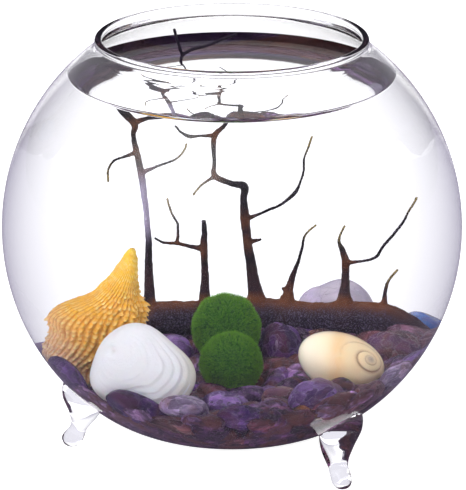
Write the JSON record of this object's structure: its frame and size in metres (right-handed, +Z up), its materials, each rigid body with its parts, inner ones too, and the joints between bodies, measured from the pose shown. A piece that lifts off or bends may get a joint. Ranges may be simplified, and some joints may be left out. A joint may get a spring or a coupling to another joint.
{
  "type": "glass bowl terrarium with moss balls",
  "caption": "Round clear glass bowl on three fused glass feet, filled with water over a bed of tumbled amethyst, with a dried sea fan, moss balls, sea shells and a glass bead.",
  "frame": {"origin": "on the surface that the feet stand on, under the middle of the bowl", "axes": "+Z up, +X to the right and -Y towards the viewer of the pictured front"},
  "size_m": [0.15, 0.15, 0.1385],
  "materials": {
    "bowl_glass": "clear blown soda glass, polished",
    "water": "clear still water",
    "amethyst_chips": "tumbled amethyst chips, wet",
    "amethyst_dark": "tumbled dark amethyst, polished",
    "amethyst_purple": "tumbled purple amethyst, polished",
    "amethyst_pale": "tumbled pale lavender amethyst, polished",
    "amethyst_brown": "tumbled smoky red-brown quartz, polished",
    "sea_fan": "dried horny sea fan, dull",
    "moss": "dense green algae threads",
    "orange_shell": "corded shell, matt",
    "white_shell": "white clam shell, satin",
    "snail_shell": "cream moon snail shell, polished",
    "bead_glass": "blue glass bead"
  },
  "bodies": {
    "root": {"glass_bowl": "bowl_glass", "water": "water", "amethyst_bed": "amethyst_chips", "sea_fan": "sea_fan", "moss_ball_front": "moss", "moss_ball_rear": "moss", "shell_cone": "orange_shell", "shell_clam": "white_shell", "shell_moon_snail": "snail_shell", "bead_blue": "bead_glass", "stone_long_purple": "amethyst_dark", "stone_blue_violet": "amethyst_dark", "stone_grey_pink": "amethyst_pale", "stone_white_edge": "amethyst_brown", "stone_front_right": "amethyst_purple", "stone_red_brown": "amethyst_brown", "stone_lavender_right": "amethyst_pale", "stone_wine": "amethyst_brown", "stone_round_brown": "amethyst_brown", "stone_dark_violet": "amethyst_dark", "stone_pale_behind": "amethyst_pale", "stone_lavender_mid": "amethyst_purple", "stone_front_low": "amethyst_dark", "stone_chip_front": "amethyst_brown", "stone_by_moss": "amethyst_purple", "stone_round_the_back_1": "amethyst_purple", "stone_round_the_back_2": "amethyst_pale", "stone_round_the_back_3": "amethyst_brown", "stone_round_the_back_4": "amethyst_dark", "stone_round_the_back_5": "amethyst_pale", "stone_round_the_back_6": "amethyst_purple", "stone_round_the_back_7": "amethyst_dark"}
  },
  "joints": []
}
